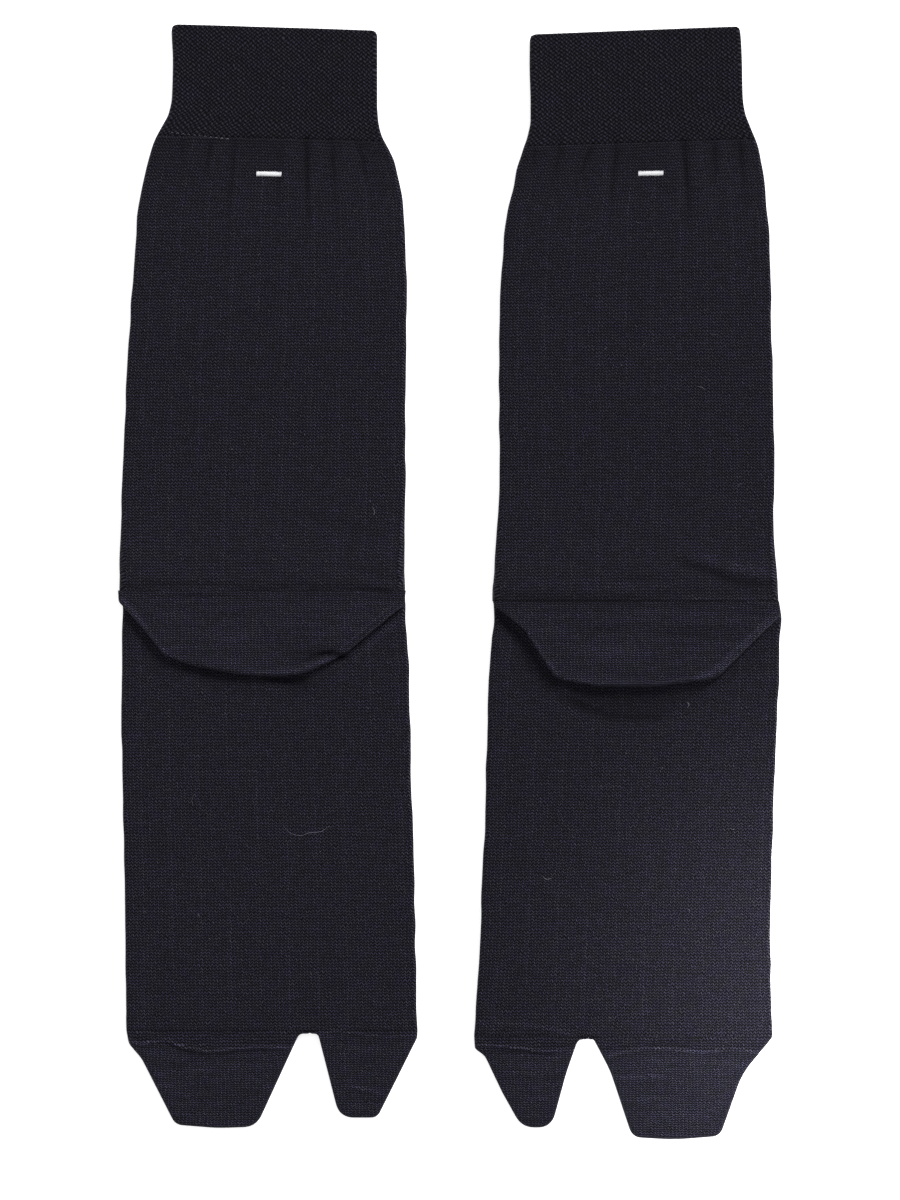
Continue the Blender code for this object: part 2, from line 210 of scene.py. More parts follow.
RIGHT_FOLDS = (
    # gathers below the cuff
    (0.75, ((-33, 154.4, -0.2), (-33.6, 150, -0.4), (-34.2, 144))),
    (0.85, ((-24.6, 155, -0.35), (-25.8, 149, -0.55), (-27, 141, -0.15), (-27.4, 135))),
    (0.85, ((-14.3, 154.5, -0.3), (-17.2, 148, -0.55), (-19.6, 140, -0.2), (-20.2, 132))),
    (0.85, ((-6.6, 155, -0.35), (-7.4, 147, -0.6), (-8.4, 137, -0.3), (-8.8, 122))),
    (0.9, ((15, 155.2, -0.45), (15.8, 147, -0.8), (16.6, 136, -0.45), (17, 122))),
    (0.8, ((24.8, 155.4, -0.25), (25.2, 149, -0.5), (25.4, 141))),
    (0.8, ((33.2, 155.6, -0.25), (34, 149, -0.5), (34.8, 138, -0.12), (35, 132))),
    (2.2, ((-29.4, 153, 0.14), (-30.6, 142))),
    (2.4, ((-20, 153, 0.16), (-22.4, 140))),
    (2.2, ((-11, 153, 0.16), (-13, 138))),
    (2.2, ((11.2, 153.5, 0.16), (11.4, 138))),
    (2.2, ((20, 153.6, 0.2), (20.8, 136))),
    (2, ((29.2, 153.8, 0.16), (29.8, 140))),
    # where the rib ends
    (1.6, ((-39, 153.8, -0.06), (0, 154.8, -0.12), (20, 155.4, -0.1), (40, 156.2, -0.06))),
    # the leg, above the ankle line
    (1.5, ((10, 19.5), (16, 17.4, -0.35), (24, 14.8, -0.55), (31, 12.2, -0.6), (45, 10.4, -0.4))),
    (1.8, ((14, 20.8), (25, 18.4, 0.24), (34, 15.8, 0.3), (45, 14, 0.12))),
    (1.3, ((-8, 13), (3, 12.6, -0.28), (12, 11.6))),
    (1.6, ((-26, 10.5), (-4, 9.6, 0.14), (14, 10))),
    (2.1, ((-46, 6.4, -0.36), (-30, 6.2, -0.42), (-6, 5.8, -0.38), (5, 7, -0.22), (20.7, 8.6, -0.16),
           (34, 8.8, -0.2), (46, 7, -0.16))),
    (0.8, ((8, 5.4, 0.1), (24, 6.3, 0.24), (36, 5.6, 0.24), (45.5, 3.4, 0.15))),
    # on the heel pocket
    (1.1, ((20.5, -20.4, 0.2), (26, -16.6, 0.46), (35, -8.4, 0.5), (45, 0.4, 0.34))),
    (2, ((2, -4.4), (12, -5.2, -0.28), (24, -4.6, -0.32), (36, -5, -0.1), (39, -5.4))),
    (1.6, ((-14, 0), (0, 1, 0.12), (16, 1.4, 0.14), (32, 0))),
    (1.5, ((-28, -0.6), (-14, -3.2, -0.18), (2, -4.4))),
    (0.8, ((-45.2, 3.2, 0.4), (-36.4, -4.6, 0.5), (-30, -14, 0.48), (-26, -18.6, 0.4))),
    (0.7, ((-24, -19.8, 0.35), (-12, -21.4, 0.42), (7, -21.3, 0.42), (24, -18.6, 0.4))),
    (1, ((-18, -17.8), (-2, -18.8, -0.18), (14, -18.4))),
    (2.6, ((-22, -11), (-4, -12, 0.14), (16, -11))),
    # linked gore at the right of the heel
    (0.55, ((46, 0.6, 0.26), (36.2, -8.9, 0.34), (26.4, -18, 0.3))),
    (0.45, ((44.6, 1.8, 0.22), (34.6, -7.7, 0.3), (25.2, -16.6, 0.26))),
    (0.35, ((45.3, 1.2, -0.12), (35.4, -8.3, -0.18), (25.8, -17.3, -0.16))),
    # on the sole, below the heel pocket
    (1.5, ((-28, -23), (-24, -26.4, -0.4), (-19.4, -28.6, -0.95), (-14, -30.6, -0.62), (-6, -32.6, -0.62),
           (4, -32.8, -0.5), (14, -31.4))),
    (3.2, ((-22, -24), (-14, -27, -0.38), (0, -28.8, -0.46), (14, -27.8, -0.26), (24, -24))),
    (2.4, ((-44, 1, -0.35), (-38.6, -8, -0.45), (-33, -18, -0.45), (-26, -24, -0.2), (-18, -26))),
    (2.4, ((-20, -24.2, -0.2), (0, -25, -0.35), (20, -23.4, -0.3), (34, -16, -0.2), (44, -5, -0.15))),
    # linked toe seams
    (0.45, ((-9.4, -143, 0.5), (-4, -141.4, 0.8), (8.3, -140.4, 0.9), (20, -141.4, 0.8), (32.4, -140.6, 0.8),
            (39, -141.6, 0.6))),
    (0.6, ((-8, -143.4, -0.1), (12, -141.9, -0.18), (36, -142.2, -0.14))),
    (0.45, ((-52, -139.3, 0.6), (-42, -139.9, 0.8), (-30.4, -141.2, 0.8), (-22, -140.8, 0.4))),
    (0.6, ((-50.6, -141.4, -0.12), (-36, -142, -0.16), (-24, -142.2, -0.1))),
    (0.5, ((-51.8, -132.5, 0.2), (-40, -132.6, 0.4), (-29.3, -133.6, 0.5), (-19.9, -136.7, 0.3))),
    (0.5, ((-7.6, -149.9, 0.3), (4.4, -149.2, 0.55), (12.5, -150.3))),
    (0.5, ((-5, -157.1, 0.2), (8, -156.4, 0.4), (18.8, -157.6))),
    (0.5, ((8, -162.4), (16, -161.8, 0.35), (26, -162.6))),
    (0.5, ((-46, -149.6, 0.25), (-38, -148.6, 0.35), (-27, -149.2))),
    (1.2, ((-18, -137, -0.1), (-16.4, -131, -0.2), (-15.6, -125))),
    (1.6, ((-8, -138), (6, -139.6, -0.12), (26, -139.8))),
)

RIGHT = {
    "rest": 65,
    "cuff_seam": 155,
    "heel_seam": 5.5,
    "toe_seam": -136.5,
    "tube": (
        *alike(2.6, CUFF_EDGE, CUFF_MIDDLE,
               (191.8, -34, 33), (191.2, -34.7, 33.6), (190, -35, 34), (182, -35.1, 34.5),
               (169, -34.8, 34.8), (164, -34.8, 35.5), (158.5, -35.8, 37.5)),
        (153.5, -37.4, 39.4, 2.5, 3, 3.4), (148.3, -39, 40.7, 2.3, 2.9, 3.4),
        (143, -40, 41.7, 2, 2.8, 3.4), (133.3, -42.3, 42.6, 1.7, 2.8, 3.4),
        (123.5, -43.4, 43.6, 1.5, 2.8, 3.3), (104, -44.6, 43.9, 0.8, 2.7, 3.2),
        (84.3, -44.9, 44.3, 0.3, 2.7, 3.1), (64.7, -44.9, 44.8, 0, 2.6, 3),
        (45, -45, 44.9, 0, 2.6, 3.1), (30, -45.6, 44.9, 0, 3.1, 3.7), (15.5, -46.7, 45.7, 0, 4.6, 5),
        (9, -47.4, 46.4, 0, 5.3, 5.6), (5.5, -47.4, 46.6, 0, 5.7, 5.9),
    ),
    "foot": alike(
        0, FOOT_EDGE, FOOT_MIDDLE, (5.5, -46.8, 46.6), (-0.5, -46.5, 47.3), (-7, -47.5, 46.9),
        (-27, -48.5, 46.2), (-46.5, -49.2, 45.2), (-66, -49.6, 44.6), (-85.5, -50.5, 43.9),
        (-105, -51.2, 43.6), (-125, -52.4, 44.2), (-136.5, -53.1, 44.4),
    ),
    "heel": (
        (-47, 5.5, 0), (-46.9, 4.5, 1.6), (-36.8, -3.8, 16), (-26.6, -19.8, 5.5), (-12, -22.3, 20),
        (6, -22.3, 30), (26, -19.6, 5), (46.9, 1.2, 2.2), (46.2, 5.5, 0),
    ),
    "four_toe": (
        (-15.9, -136.5, 0), (-15.9, -137.4, 0.3), (-14, -137.6, 1.3), (-8.6, -148, 30),
        (-1.4, -169.6, 4.4), (12.5, -170.4, 80), (27.3, -169.2, 4.2), (34.6, -148.8, 25),
        (44.1, -137.3, 1.4), (44.4, -136.5, 0),
    ),
    "big_toe": (
        (-53.1, -136.5, 0), (-52.9, -140.6, 1.5), (-49.6, -143, 5), (-43.9, -155, 40),
        (-37.5, -166.4, 7), (-27.8, -166.4, 6), (-22.9, -148.5, 60), (-19.1, -137.6, 2.4),
        (-15.9, -137.4, 0.3), (-15.9, -136.5, 0),
    ),
    "toe_line": {
        "four_toe": ((-15.9, -140.6), (-4, -141), (8.3, -140.4), (32.4, -140.9), (44, -141.2)),
        "big_toe": ((-53, -139.2), (-42, -140.2), (-30.4, -140.9), (-16, -140)),
    },
    "bar_tack": (4.5, 145, 1.8),
    "folds": RIGHT_FOLDS,
    "hairs": (
        (0.06, ((16.4, -27.4), (17, -28.2), (16.6, -29.2))),
        (0.045, ((19.6, 75.6), (21.4, 75.2), (22.4, 74))),
        (0.05, ((16.2, -94.6), (17.2, -95.4), (17, -96.6))),
        (0.04, ((-31, -84), (-29.4, -85.2), (-27.6, -84.8))),
    ),
}

SOCKS = {"left": LEFT, "right": RIGHT}

# -------- lines and tables


def smooth_between(at, places, values):
    """A curve through a table's rows: a cubic between each two rows, whose slope at a row is the
    harmonic mean of the two straight slopes beside it, or level where they disagree."""
    step = np.diff(places)
    rise = np.diff(values) / step
    before, after = rise[:-1], rise[1:]
    agree = before * after > 0
    mean = 2 * before * after / np.where(agree, before + after, 1)
    slope = np.concatenate([rise[:1], np.where(agree, mean, 0), rise[-1:]])
    i = np.clip(np.searchsorted(places, at) - 1, 0, len(step) - 1)
    t = (at - places[i]) / step[i]
    low = values[i] * (1 + 2 * t) * (1 - t) ** 2 + slope[i] * step[i] * t * (1 - t) ** 2
    high = values[i + 1] * t**2 * (3 - 2 * t) - slope[i + 1] * step[i] * t**2 * (1 - t)
    return low + high


def sections(rows, stations):
    """A tube's table read at each station: one array for each named column."""
    table = np.array(sorted(rows)).T
    names = ("station", "left", "right", "tilt", "edge", "middle")
    return {name: smooth_between(stations, table[0], column) for name, column in zip(names, table)}


def smooth_line(points, spacing):
    """Points about `spacing` apart on a smooth curve through the given ones."""
    points = np.array(points, float)
    length = np.hypot(*np.diff(points[:, :2], axis=0).T).sum()
    fine = np.linspace(0, len(points) - 1, int(length / spacing) + 2)
    at = np.arange(len(points))
    return np.column_stack([smooth_between(fine, at, column) for column in points.T])


def lengths_along(line):
    """How far along a line of points each of them lies."""
    return np.concatenate([[0], np.cumsum(np.hypot(*np.diff(line, axis=0).T))])


def rounded_outline(corners, count):
    """`count` points evenly along an outline: straight between its corners, with a curve like an arc
    of each corner's radius there, which touches both straight stretches."""
    corners = np.array(corners, float)
    line = [corners[:1, :2]]
    for before, corner, after in zip(corners, corners[1:], corners[2:]):
        point, radius = corner[:2], corner[2]
        back, on = ((end[:2] - point) / np.linalg.norm(end[:2] - point) for end in (before, after))
        half = math.acos(np.clip(back @ on, -1, 1)) / 2
        reach = radius / math.tan(half)
        share = np.linspace(0, 1, 13)[:, None]
        start, end = point + back * reach, point + on * reach
        # a Bezier of three points is close to the arc, and touches the same two lines
        line.append(start * (1 - share) ** 2 + 2 * point * share * (1 - share) + end * share**2)
    line.append(corners[-1:, :2])
    line = np.concatenate(line)
    along = lengths_along(line)
    at = np.linspace(0, along[-1], count)
    return np.column_stack([np.interp(at, along, line[:, k]) for k in range(2)])


def unevenness(x, y, pitch, seed):
    """Smooth noise from -1 to 1: random values on a square lattice of that pitch, blended between the
    four lattice points round each place with weights that ease in and out."""
    cells = 61  # the lattice repeats after these
    offset = 1000  # keeps every place on its positive side
    lattice = np.random.default_rng(seed).uniform(-1, 1, (cells, cells))
    across, down = x / pitch + offset, y / pitch + offset
    i, j = np.floor(across).astype(int), np.floor(down).astype(int)
    s, t = across - i, down - j
    s, t = s * s * (3 - 2 * s), t * t * (3 - 2 * t)
    value = [lattice[(i + a) % cells, (j + b) % cells] for a in (0, 1) for b in (0, 1)]
    return (value[0] * (1 - t) + value[1] * t) * (1 - s) + (value[2] * (1 - t) + value[3] * t) * s


def fold_relief(x, y, folds):
    """How much the folds raise the cloth at each place: every fold is a bell curve across its line,
    as wide as the fold, whose height follows the heights along that line."""
    height = np.zeros(x.shape)
    for width, points in folds:
        line = smooth_line([(*point, 0.0)[:3] for point in points], width / 4)
        reach = 2.6 * width  # past this the bell curve is next to nothing
        low, high = line[:, :2].min(0) - reach, line[:, :2].max(0) + reach
        near = (x > low[0]) & (x < high[0]) & (y > low[1]) & (y < high[1])
        if not near.any():
            continue
        gap = np.hypot(x[near][:, None] - line[:, 0], y[near][:, None] - line[:, 1])
        nearest = gap.argmin(1)
        distance = gap[np.arange(len(nearest)), nearest]
        height[near] += line[nearest, 2] * np.exp(-((distance / width) ** 2))
    return height


def cloth_relief(x, y, sock, side):
    """The folds of a sock, and the faint unevenness of cloth that has been laid down by hand."""
    seed = {"left": 11, "right": 23}[side]
    swells = 0.13 * unevenness(x, y, 17, seed)
    ripples = 0.05 * unevenness(x, y, 5.5, seed + 1)
    return fold_relief(x, y, sock["folds"]), swells + ripples


# -------- meshes of cloth


def stacked(*arrays):
    """The arrays as the last axis of one."""
    return np.stack(np.broadcast_arrays(*arrays), -1)


def grid_faces(rows, columns, loop_rows, loop_columns):
    """The four corners of every face of a grid, as row and column numbers, facing outwards."""
    i = np.arange(rows if loop_rows else rows - 1)[:, None]
    j = np.arange(columns if loop_columns else columns - 1)[None, :]
    i, j = np.broadcast_arrays(i, j)
    return stacked(i, i + 1, i + 1, i).reshape(-1, 4), stacked(j, j, j + 1, j + 1).reshape(-1, 4)


def put_in_scene(name, data):
    """An object at the origin that shows a mesh, a light or a camera."""
    thing = bpy.data.objects.new(name, data)
    bpy.context.scene.collection.objects.link(thing)
    return thing


def cloth_mesh(name, place, points, stitches, marks, loop_rows=False, loop_columns=False):
    """A mesh through a grid of points, (x, y, z) as three arrays, with its stitch map and one value of
    each mark at each point.

    `stitches` has one column more than the points where the columns close into a ring, and one row
    more where the rows do, so that the map runs on across the join.
    """
    points = stacked(*points)
    rows, columns = points.shape[:2]
    i, j = grid_faces(rows, columns, loop_rows, loop_columns)
    corners = (i % rows) * columns + j % columns
    mesh = bpy.data.meshes.new(name)
    mesh.from_pydata((points.reshape(-1, 3) + place) * MM, [], corners.tolist())
    mesh.uv_layers.new(name="stitches").data.foreach_set("uv", stitches[i, j].astype(np.float32).ravel())
    for mark, values in marks.items():
        layer = mesh.attributes.new(mark, "FLOAT", "POINT")
        layer.data.foreach_set("value", values.astype(np.float32).ravel())
    mesh.shade_smooth()
    mesh.update()
    return put_in_scene(name, mesh)


def give_wall(piece):
    """One layer of plain knit: the wall grows inwards from the modelled surface."""
    wall = piece.modifiers.new("layer", "SOLIDIFY")
    wall.thickness = LAYER * MM
    wall.offset = -1


def hand_over(piece, node, slot, material, flat, area, rests_on):
    """Puts a finished piece of cloth in its node's place, with its material, and hides the node's part."""
    piece.data.materials.append(material)
    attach(piece, "root")
    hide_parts(node)
    flat = tuple(size * MM for size in flat)


class Round:
    """The columns round a flat tube, from the left end of its top: the place across it from -1 to 1,
    the turn round a side fold from 0 on top to pi underneath, and the wale."""

    def __init__(self, top, fold, under):
        turn = np.pi * np.arange(1, fold) / fold
        flat_wales = NEEDLES / 2 - FOLD_WALES
        across = [np.linspace(-1, 1, top + 1), np.ones(fold - 1), np.linspace(1, -1, under + 1)]
        self.place = np.concatenate([*across, -np.ones(fold - 1)])
        self.turn = np.concatenate([np.zeros(top + 1), turn, np.full(under + 1, np.pi), turn[::-1]])
        in_fold = FOLD_WALES * turn / np.pi
        front = [np.linspace(0, flat_wales, top + 1), flat_wales + in_fold]
        back = [NEEDLES / 2 + np.linspace(0, flat_wales, under + 1), NEEDLES - in_fold[::-1]]
        self.wale = np.concatenate([*front, *back, [NEEDLES]])
        self.on_top = self.turn == 0
        self.underneath = self.turn == np.pi
        self.share = np.cos(self.turn / 2) ** 2

    def points(self, rows, depth=0.0):
        """x, y and z of each row of sections, `depth` inside the outer surface. A section is flat
        underneath, has a half circle at each side fold, and a low parabola on top."""
        row = {name: values[:, None] for name, values in rows.items()}
        radius = row["edge"] / 2
        half = (row["right"] - row["left"]) / 2
        middle = (row["right"] + row["left"]) / 2
        pillow = (row["middle"] - row["edge"]) * (1 - self.place**2) * self.on_top
        side = np.sign(self.place)
        x = middle + (half - radius) * self.place + (radius - depth) * np.sin(self.turn) * side
        z = radius + (radius - depth) * np.cos(self.turn) + pillow
        y = row["station"] + row["tilt"] * (x - middle) / (2 * half)
        return x, y, z

    def flat_size(self, rows):
        """The width and height of the cut that a tube is knitted to, and its area. It is as wide as
        the length round the widest section."""
        girth = 2 * (rows["right"] - rows["left"]) + (math.pi - 2) * rows["edge"]
        length = rows["station"].max() - rows["station"].min()
        return (girth.max(), length), girth.mean() * length


def wandering(rows, side):
    """The same sections with side folds that wander a little, as knit does, but not at the seams."""
    seed = {"left": 41, "right": 47}[side]
    station = rows["station"]
    seam_gap = np.minimum(station.max() - station, station - station.min())
    reach = WANDER * np.clip(seam_gap / 6, 0, 1)
    rows = dict(rows)
    for number, fold in enumerate(("left", "right")):
        rows[fold] = rows[fold] + reach * unevenness(station, 0 * station, 7.0, seed + number)
    return rows


def section_top(row, x):
    """The height of the top of a flat tube's sections at each place across them."""
    middle, half = (row["left"] + row["right"]) / 2, (row["right"] - row["left"]) / 2
    across = np.clip((x - middle) / (half - row["edge"] / 2), -1, 1)
    return row["edge"] + (row["middle"] - row["edge"]) * (1 - across**2)


def plain_tube(side, sock, name, rows, place, material, pinch=0.0):
    """A stretch of plain knit, leg or foot. `pinch` draws the side folds in at the level where the
    heel pocket parts from the foot, less and less up the leg, as a bell curve over the height."""
    columns = Round(top=112, fold=8, under=36)
    rows = wandering(rows, side)
    stations = rows["station"]
    x, y, z = columns.points(rows)
    folds, soft = cloth_relief(x, y, sock, side)
    z = z + (folds + soft) * columns.share
    z = z + UNDER_SWELL * np.abs(unevenness(x, y, 12, 5)) * columns.underneath
    above = np.clip((y - sock["heel_seam"]) / PINCH_FADE, 0, 1)
    parting = np.exp(-(((z - PINCH_LEVEL) / PINCH_WIDTH) ** 2))
    x = x - pinch * (1 - above) ** 2 * np.sin(columns.turn) * np.sign(columns.place) * parting
    # painted shade of the gathers: this mark turns the leg to its darker navy towards the cuff
    gather_shade = np.clip((stations - sock["cuff_seam"] + GATHER_SHADE_REACH) / GATHER_SHADE_REACH, 0, 1)[:, None] ** 2
    stitches = stacked(columns.wale, stations[:, None] / COURSE)
    # the relief mark also paints shade into the troughs and a highlight onto the ridges of the knit's colour
    marks = {"relief": folds * columns.share, "second_tone": gather_shade * np.ones(x.shape)}
    piece = cloth_mesh(f"{side}_{name}_knit", place, (x, y, z), stitches, marks, loop_columns=True)
    give_wall(piece)
    hand_over(piece, f"{side}_{name}", "leg_knit", material, *columns.flat_size(rows), ["table"])


def leg(side, sock, place, material):
    """The leg, from the end of the rib to the ankle line."""
    stations = np.linspace(sock["cuff_seam"], sock["heel_seam"], 172)
    rows = sections(sock["tube"], stations)
    plain_tube(side, sock, "leg", rows, place, material, pinch=HEEL_PINCH)


def foot(side, sock, place, material):
    """The foot, sole up, from the ankle line to the toe pockets."""
    stations = np.linspace(sock["heel_seam"], sock["toe_seam"], 168)
    plain_tube(side, sock, "foot", sections(sock["foot"], stations), place, material)


def cuff(side, sock, place, material):
    """The rib cuff: its rows run up the inner wall, round the turned edge and down the outer wall.

    The ribs are a sine round the cuff, which sinks the cloth by the rib's depth between them. They
    are shallower in the last 3 mm before the seam.
    """
    columns = Round(top=195, fold=6, under=195)
    half_layer = CUFF_LAYER / 2
    shoulder = max(row[0] for row in sock["tube"]) - half_layer
    turn = np.linspace(0, math.pi, 9)[1:-1]
    seam = sock["cuff_seam"]
    inner = np.linspace(seam, shoulder, 24)
    outer = np.linspace(shoulder, seam, 58)
    stations = np.concatenate([inner, shoulder + half_layer * np.sin(turn), outer])
    inner_depth = np.full(len(inner), CUFF_LAYER)
    depth = np.concatenate([inner_depth, half_layer * (1 + np.cos(turn)), np.zeros(len(outer))])
    rows = sections(sock["tube"], stations)
    rib = 0.5 - 0.5 * np.sin(2 * np.pi * columns.wale[:-1] / 2)
    fade = np.clip((stations - seam) / 3, 0.25, 1)[:, None]
    x, y, z = columns.points(rows, depth[:, None] + RIB_DEPTH * rib * fade)
    folds, soft = cloth_relief(x, y, sock, side)
    relief = folds * (depth == 0)[:, None]
    z = z + (relief + soft) * columns.share
    courses = -lengths_along(np.column_stack([stations, depth])) / CUFF_COURSE
    courses = np.append(courses, courses[-1] - CUFF_LAYER / CUFF_COURSE)
    stitches = stacked(columns.wale / 2, courses[:, None])
    # the relief mark also paints shade into the troughs and a highlight onto the ridges of the knit's colour
    marks = {"relief": relief * columns.share, "second_tone": np.zeros(x.shape)}
    loops = {"loop_rows": True, "loop_columns": True}
    piece = cloth_mesh(f"{side}_cuff_rib", place, (x, y, z), stitches, marks, **loops)
    hand_over(piece, f"{side}_cuff", "cuff_rib", material, *columns.flat_size(rows), ["table"])


def pocket(side, sock, name, place, material, count, base, edge, puff, open_ends, rests_on):
    """A closed pocket of reinforced knit, flat on its base, from a straight mouth to its outline.

    A column runs from the mouth across the top to the outline, round the edge in a half circle and
    back underneath. At the mouth the top is as high as the tube there, and half way down it gains
    `puff`. `open_ends` says for each end of the mouth whether its side fold is round (1) or flat
    against its neighbour (0), where the half circle grows to its full depth in 6 mm.
    """
    line = rounded_outline(sock[name], count)
    tangent = np.gradient(line, axis=0)
    tangent /= np.linalg.norm(tangent, axis=1)[:, None]
    tangent[[0, -1]] = (0, -1), (0, 1)
    inward = np.column_stack([-tangent[:, 1], tangent[:, 0]])
    radius = edge / 2
    along = lengths_along(line)
    from_ends = np.array([along, along[-1] - along])
    grown = [1 if end else np.clip((far - 1) / 5, 0.15, 1) ** 2 for end, far in zip(open_ends, from_ends)]
    inset = radius * np.minimum(*grown) * np.ones(count)
    shoulder = line + inward * inset[:, None]
    u = np.linspace(-1, 1, count)
    mouth = shoulder[0] + (shoulder[-1] - shoulder[0]) * (0.5 + 0.4 * u[:, None])
    rows = sock["tube"] if name == "heel" else sock["foot"]
    mouth_z = section_top(sections(rows, mouth[:, 1]), mouth[:, 0])

    # the rows of the top lie closer together near the mouth, where the seam ridges are
    t = np.linspace(0, 1, 70)[:, None] ** 1.35
    top_xy = mouth + (shoulder - mouth) * t[..., None]
    swell = puff * 4 * t * (1 - t) * (1 - u**2) ** 0.5
    top_z = base + edge + (mouth_z - base - edge) * (1 - t) ** 2 + swell
    turn = np.pi * np.arange(1, 9)[:, None] / 9
    edge_xy = shoulder - inward * (inset[:, None] * np.sin(turn)[..., None])
    edge_z = base + radius * (1 + np.cos(turn)) * np.ones(count)
    back = np.linspace(1, 0, 20)[:, None]
    back_xy = mouth + (shoulder - mouth) * back[..., None]
    back_z = np.full((len(back), count), float(base))

    xy = np.concatenate([top_xy, edge_xy, back_xy])
    share = np.concatenate([np.ones(len(t)), np.cos(turn[:, 0] / 2) ** 2, np.zeros(len(back))])[:, None]
    folds, soft = cloth_relief(xy[..., 0], xy[..., 1], sock, side)
    z = np.concatenate([top_z, edge_z, back_z]) + (folds + soft) * share

    # the stitches of the edge and the back are those of the top, unrolled over the outline
    unrolled = shoulder - inward * (radius * turn[..., None])
    back_run = math.pi * radius + np.linalg.norm(back_xy - shoulder, axis=-1)
    back_unrolled = shoulder - inward * back_run[..., None]
    flat_xy = np.concatenate([top_xy, unrolled, back_unrolled])
    reinforced, courses = reinforcement(sock, name, flat_xy)
    stitches = stacked(flat_xy[..., 0] / REINFORCED_WALE, courses)

    # the relief mark also paints shade into the troughs and a highlight onto the ridges of the knit's colour
    marks = {"relief": folds * share, "second_tone": reinforced}
    piece = cloth_mesh(f"{side}_{name}_knit", place, (xy[..., 0], xy[..., 1], z), stitches, marks)
    give_wall(piece)
    x, y = line.T
    outline_area = abs(np.sum(x * np.roll(y, -1) - y * np.roll(x, -1))) / 2
    flat = (x.max() - x.min(), 2 * (y.max() - y.min()))
    hand_over(piece, f"{side}_{name}", "reinforced_knit", material, flat, 2 * outline_area, rests_on)


def reinforcement(sock, name, xy):
    """Where the knit is reinforced, from 0 to 1, and the course at each place. Courses are plain up
    to the toe line and closer together past it, and they are counted on from one to the other."""
    x, y = xy[..., 0], xy[..., 1]
    if name == "heel":
        return np.clip((sock["heel_seam"] - y) / 6, 0, 1), y / REINFORCED_COURSE
    line = np.array(sock["toe_line"][name]).T
    toe_line = smooth_between(np.clip(x, line[0, 0], line[0, -1]), *line)
    past = toe_line - y
    courses = np.where(past > 0, toe_line / COURSE - past / REINFORCED_COURSE, y / COURSE)
    return np.clip(past / 0.5, 0, 1), courses


def heel(side, sock, place, material):
    """The heel pocket, folded down over the sole."""
    pocket(
        side, sock, "heel", place, material, count=150, base=HEEL_BASE, edge=HEEL_EDGE,
        puff=0.0, open_ends=(1, 1), rests_on=[f"{side}_foot_knit"],
    )


def toe(side, sock, name, place, material):
    """A toe pocket. Towards the other one it stands flat against it, up to the notch between them."""
    other = {"four_toe": "big_toe", "big_toe": "four_toe"}[name]
    at_left = sock[name][0][0] < sock[other][0][0]
    pocket(
        side, sock, name, place, material, count=130 if name == "four_toe" else 96, base=0.0,
        edge=POCKET_EDGE, puff=POCKET_PUFF, open_ends=(1, 0) if at_left else (0, 1), rests_on=["table"],
    )


# -------- thread and loose fibres


def tubes(paths, radii, sides):
    """Points and faces of many thin tubes of one count of points: a ring round each point of each
    path, square to the path and tapered to next to nothing at its two ends."""
    along = np.gradient(paths, axis=1)
    along /= np.linalg.norm(along, axis=2)[..., None]
    level = np.cross(along, [0.0, 0.0, 1.0])
    level /= np.linalg.norm(level, axis=2)[..., None]
    upright = np.cross(level, along)
    angle = np.linspace(0, 2 * np.pi, sides, endpoint=False)[:, None]
    fibres, count = paths.shape[:2]
    taper = np.sqrt(np.sin(np.linspace(0.02, np.pi - 0.02, count)))
    reach = (radii[:, None] * taper)[..., None, None]
    ring = level[:, :, None] * np.cos(angle) + upright[:, :, None] * np.sin(angle)
    points = paths[:, :, None] + ring * reach
    f, i, j = np.meshgrid(np.arange(fibres), np.arange(count - 1), np.arange(sides), indexing="ij")
    here = (f * count + i) * sides
    on = (j + 1) % sides
    faces = stacked(here + j, here + sides + j, here + sides + on, here + on)
    return points.reshape(-1, 3), faces.reshape(-1, 4)


def thread_piece(name, paths, radii, sides, place, material):
    """One object of thin tubes."""
    points, faces = tubes(paths, radii, sides)
    mesh = bpy.data.meshes.new(name)
    mesh.from_pydata((points + place) * MM, [], faces.tolist())
    mesh.shade_smooth()
    mesh.materials.append(material)
    piece = put_in_scene(name, mesh)
    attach(piece, "root")
    return piece


def top_height(sock, side, x, y):
    """The height of the upper layer of the leg or the foot at each place."""
    height = np.zeros(x.shape)
    for rows, here in ((sock["tube"], y >= sock["heel_seam"]), (sock["foot"], y < sock["heel_seam"])):
        row = sections(rows, np.where(here, y, sock["heel_seam"]))
        height = np.where(here, section_top(row, x), height)
    folds, soft = cloth_relief(x, y, sock, side)
    return height + folds + soft


TACK_LENGTH = 7.8
TACK_WIDTH = 1.7
TACK_STITCHES = 24
TACK_HEIGHT = 0.30
CORE_GAP = 0.72  # between the two threads that run along the tack
CORE_RADIUS = 0.22
LEG_AT_TACK = 84  # the tack tilts as the leg's sections do, which are this wide there


